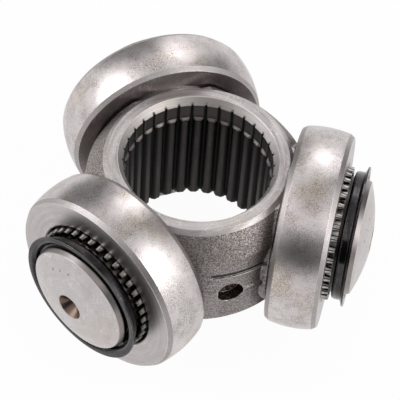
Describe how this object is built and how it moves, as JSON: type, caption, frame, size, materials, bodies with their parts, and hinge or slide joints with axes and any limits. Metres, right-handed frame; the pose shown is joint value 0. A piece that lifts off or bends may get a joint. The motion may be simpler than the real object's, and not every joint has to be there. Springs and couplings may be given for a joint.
{
  "type": "cv joint tripod",
  "caption": "Tripod of a plunging constant-velocity joint: splined forged spider with loose barrel rollers on needle bearings, held by pressed washers and snap rings.",
  "frame": {"origin": "where the three trunnion axes meet the spline's axis", "axes": "+Z along the spline's axis, out of the pilot bore's mouth; +Y along the axis of trunnion 3; trunnions 1 and 2 point to 210 and 330 degrees"},
  "size_m": [0.0658, 0.0619, 0.0374],
  "materials": {
    "forged_steel": "blasted forging with turned and ground faces",
    "roller_steel": "tumbled and ground, satin",
    "needle_steel": "superfinished",
    "blackened_steel": "black oxide, oiled",
    "washer_steel": "bright strip",
    "spring_steel": "phosphated spring steel"
  },
  "bodies": {
    "spider": {"spider": "forged_steel", "snap_ring_1": "spring_steel", "snap_ring_2": "spring_steel", "snap_ring_3": "spring_steel"},
    "outer_washer_1": {"outer_washer_1": "blackened_steel"},
    "outer_roller_1": {"outer_roller_1": "roller_steel"},
    "inner_washer_1": {"inner_washer_1": "washer_steel"},
    "needle_rollers_1": {"needle_rollers_1": "needle_steel"},
    "outer_washer_2": {"outer_washer_2": "blackened_steel"},
    "outer_roller_2": {"outer_roller_2": "roller_steel"},
    "inner_washer_2": {"inner_washer_2": "washer_steel"},
    "needle_rollers_2": {"needle_rollers_2": "needle_steel"},
    "outer_washer_3": {"outer_washer_3": "blackened_steel"},
    "outer_roller_3": {"outer_roller_3": "roller_steel"},
    "inner_washer_3": {"inner_washer_3": "washer_steel"},
    "needle_rollers_3": {"needle_rollers_3": "needle_steel"}
  },
  "joints": [
    {"name": "roller_spin_1", "type": "hinge", "parent": "spider", "child": "outer_washer_1", "pos_m": [0, 0, 0], "axis": [-0.866, -0.5, 0], "continuous": true},
    {"name": "roller_slide_1", "type": "slide", "parent": "outer_washer_1", "child": "outer_roller_1", "axis": [-0.866, -0.5, 0], "range_m": [0, 0.0036]},
    {"name": "needle_orbit_1", "type": "hinge", "parent": "spider", "child": "inner_washer_1", "pos_m": [0, 0, 0], "axis": [-0.866, -0.5, 0], "continuous": true},
    {"name": "needle_float_1", "type": "slide", "parent": "inner_washer_1", "child": "needle_rollers_1", "axis": [-0.866, -0.5, 0], "range_m": [0, 0.00045]},
    {"name": "roller_spin_2", "type": "hinge", "parent": "spider", "child": "outer_washer_2", "pos_m": [0, 0, 0], "axis": [0.866, -0.5, 0], "continuous": true},
    {"name": "roller_slide_2", "type": "slide", "parent": "outer_washer_2", "child": "outer_roller_2", "axis": [0.866, -0.5, 0], "range_m": [0, 0.0036]},
    {"name": "needle_orbit_2", "type": "hinge", "parent": "spider", "child": "inner_washer_2", "pos_m": [0, 0, 0], "axis": [0.866, -0.5, 0], "continuous": true},
    {"name": "needle_float_2", "type": "slide", "parent": "inner_washer_2", "child": "needle_rollers_2", "axis": [0.866, -0.5, 0], "range_m": [0, 0.00045]},
    {"name": "roller_spin_3", "type": "hinge", "parent": "spider", "child": "outer_washer_3", "pos_m": [0, 0, 0], "axis": [0, 1, 0], "continuous": true},
    {"name": "roller_slide_3", "type": "slide", "parent": "outer_washer_3", "child": "outer_roller_3", "axis": [0, 1, 0], "range_m": [0, 0.0036]},
    {"name": "needle_orbit_3", "type": "hinge", "parent": "spider", "child": "inner_washer_3", "pos_m": [0, 0, 0], "axis": [0, 1, 0], "continuous": true},
    {"name": "needle_float_3", "type": "slide", "parent": "inner_washer_3", "child": "needle_rollers_3", "axis": [0, 1, 0], "range_m": [0, 0.00045]}
  ],
  "couplings": [
    {"joint": "needle_orbit_1", "follows": "roller_spin_1", "ratio": 0.54316},
    {"joint": "needle_orbit_2", "follows": "roller_spin_2", "ratio": 0.54316},
    {"joint": "needle_orbit_3", "follows": "roller_spin_3", "ratio": 0.54316}
  ]
}
